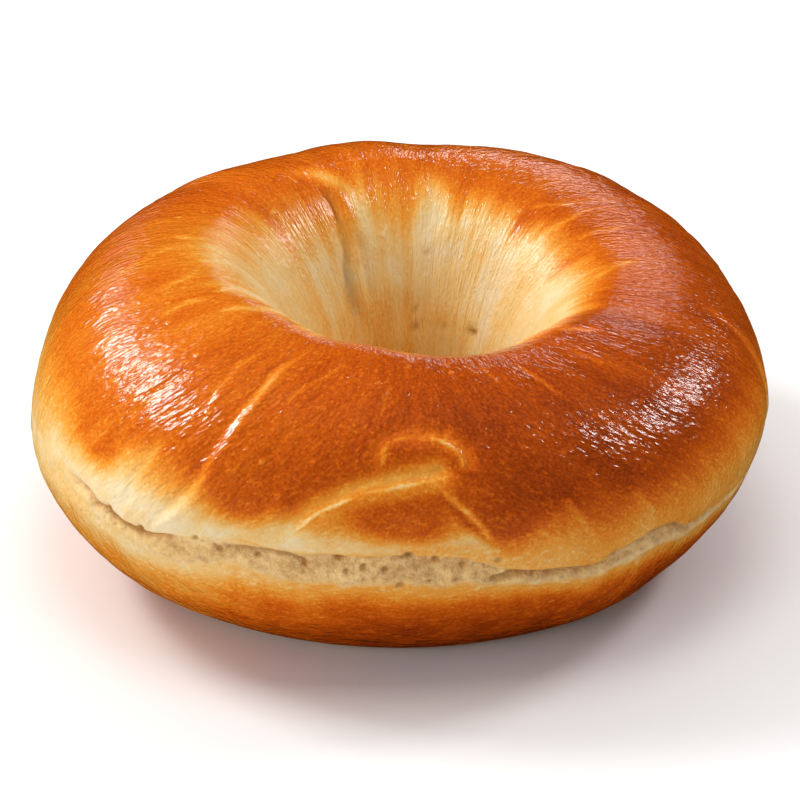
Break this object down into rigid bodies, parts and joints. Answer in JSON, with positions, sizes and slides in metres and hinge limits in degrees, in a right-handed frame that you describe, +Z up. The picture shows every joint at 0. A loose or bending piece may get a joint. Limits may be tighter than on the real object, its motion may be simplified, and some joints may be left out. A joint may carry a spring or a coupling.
{
  "type": "bagel",
  "caption": "Whole plain bagel: a plump ring of bread with a glossy browned crust, a torn pale waist and a pale funnel-shaped hole, lying on its flat base.",
  "frame": {"origin": "middle of the footprint, on the surface that the bagel lies on", "axes": "+Z up, out of the crown; -Y towards the side the picture shows; +X to the picture's right"},
  "size_m": [0.1102, 0.1142, 0.0471],
  "materials": {
    "crust": "glossy browned bread crust, paling to golden and cream crumb at the waist and in the hole"
  },
  "bodies": {
    "root": {"bagel": "crust"}
  },
  "joints": []
}
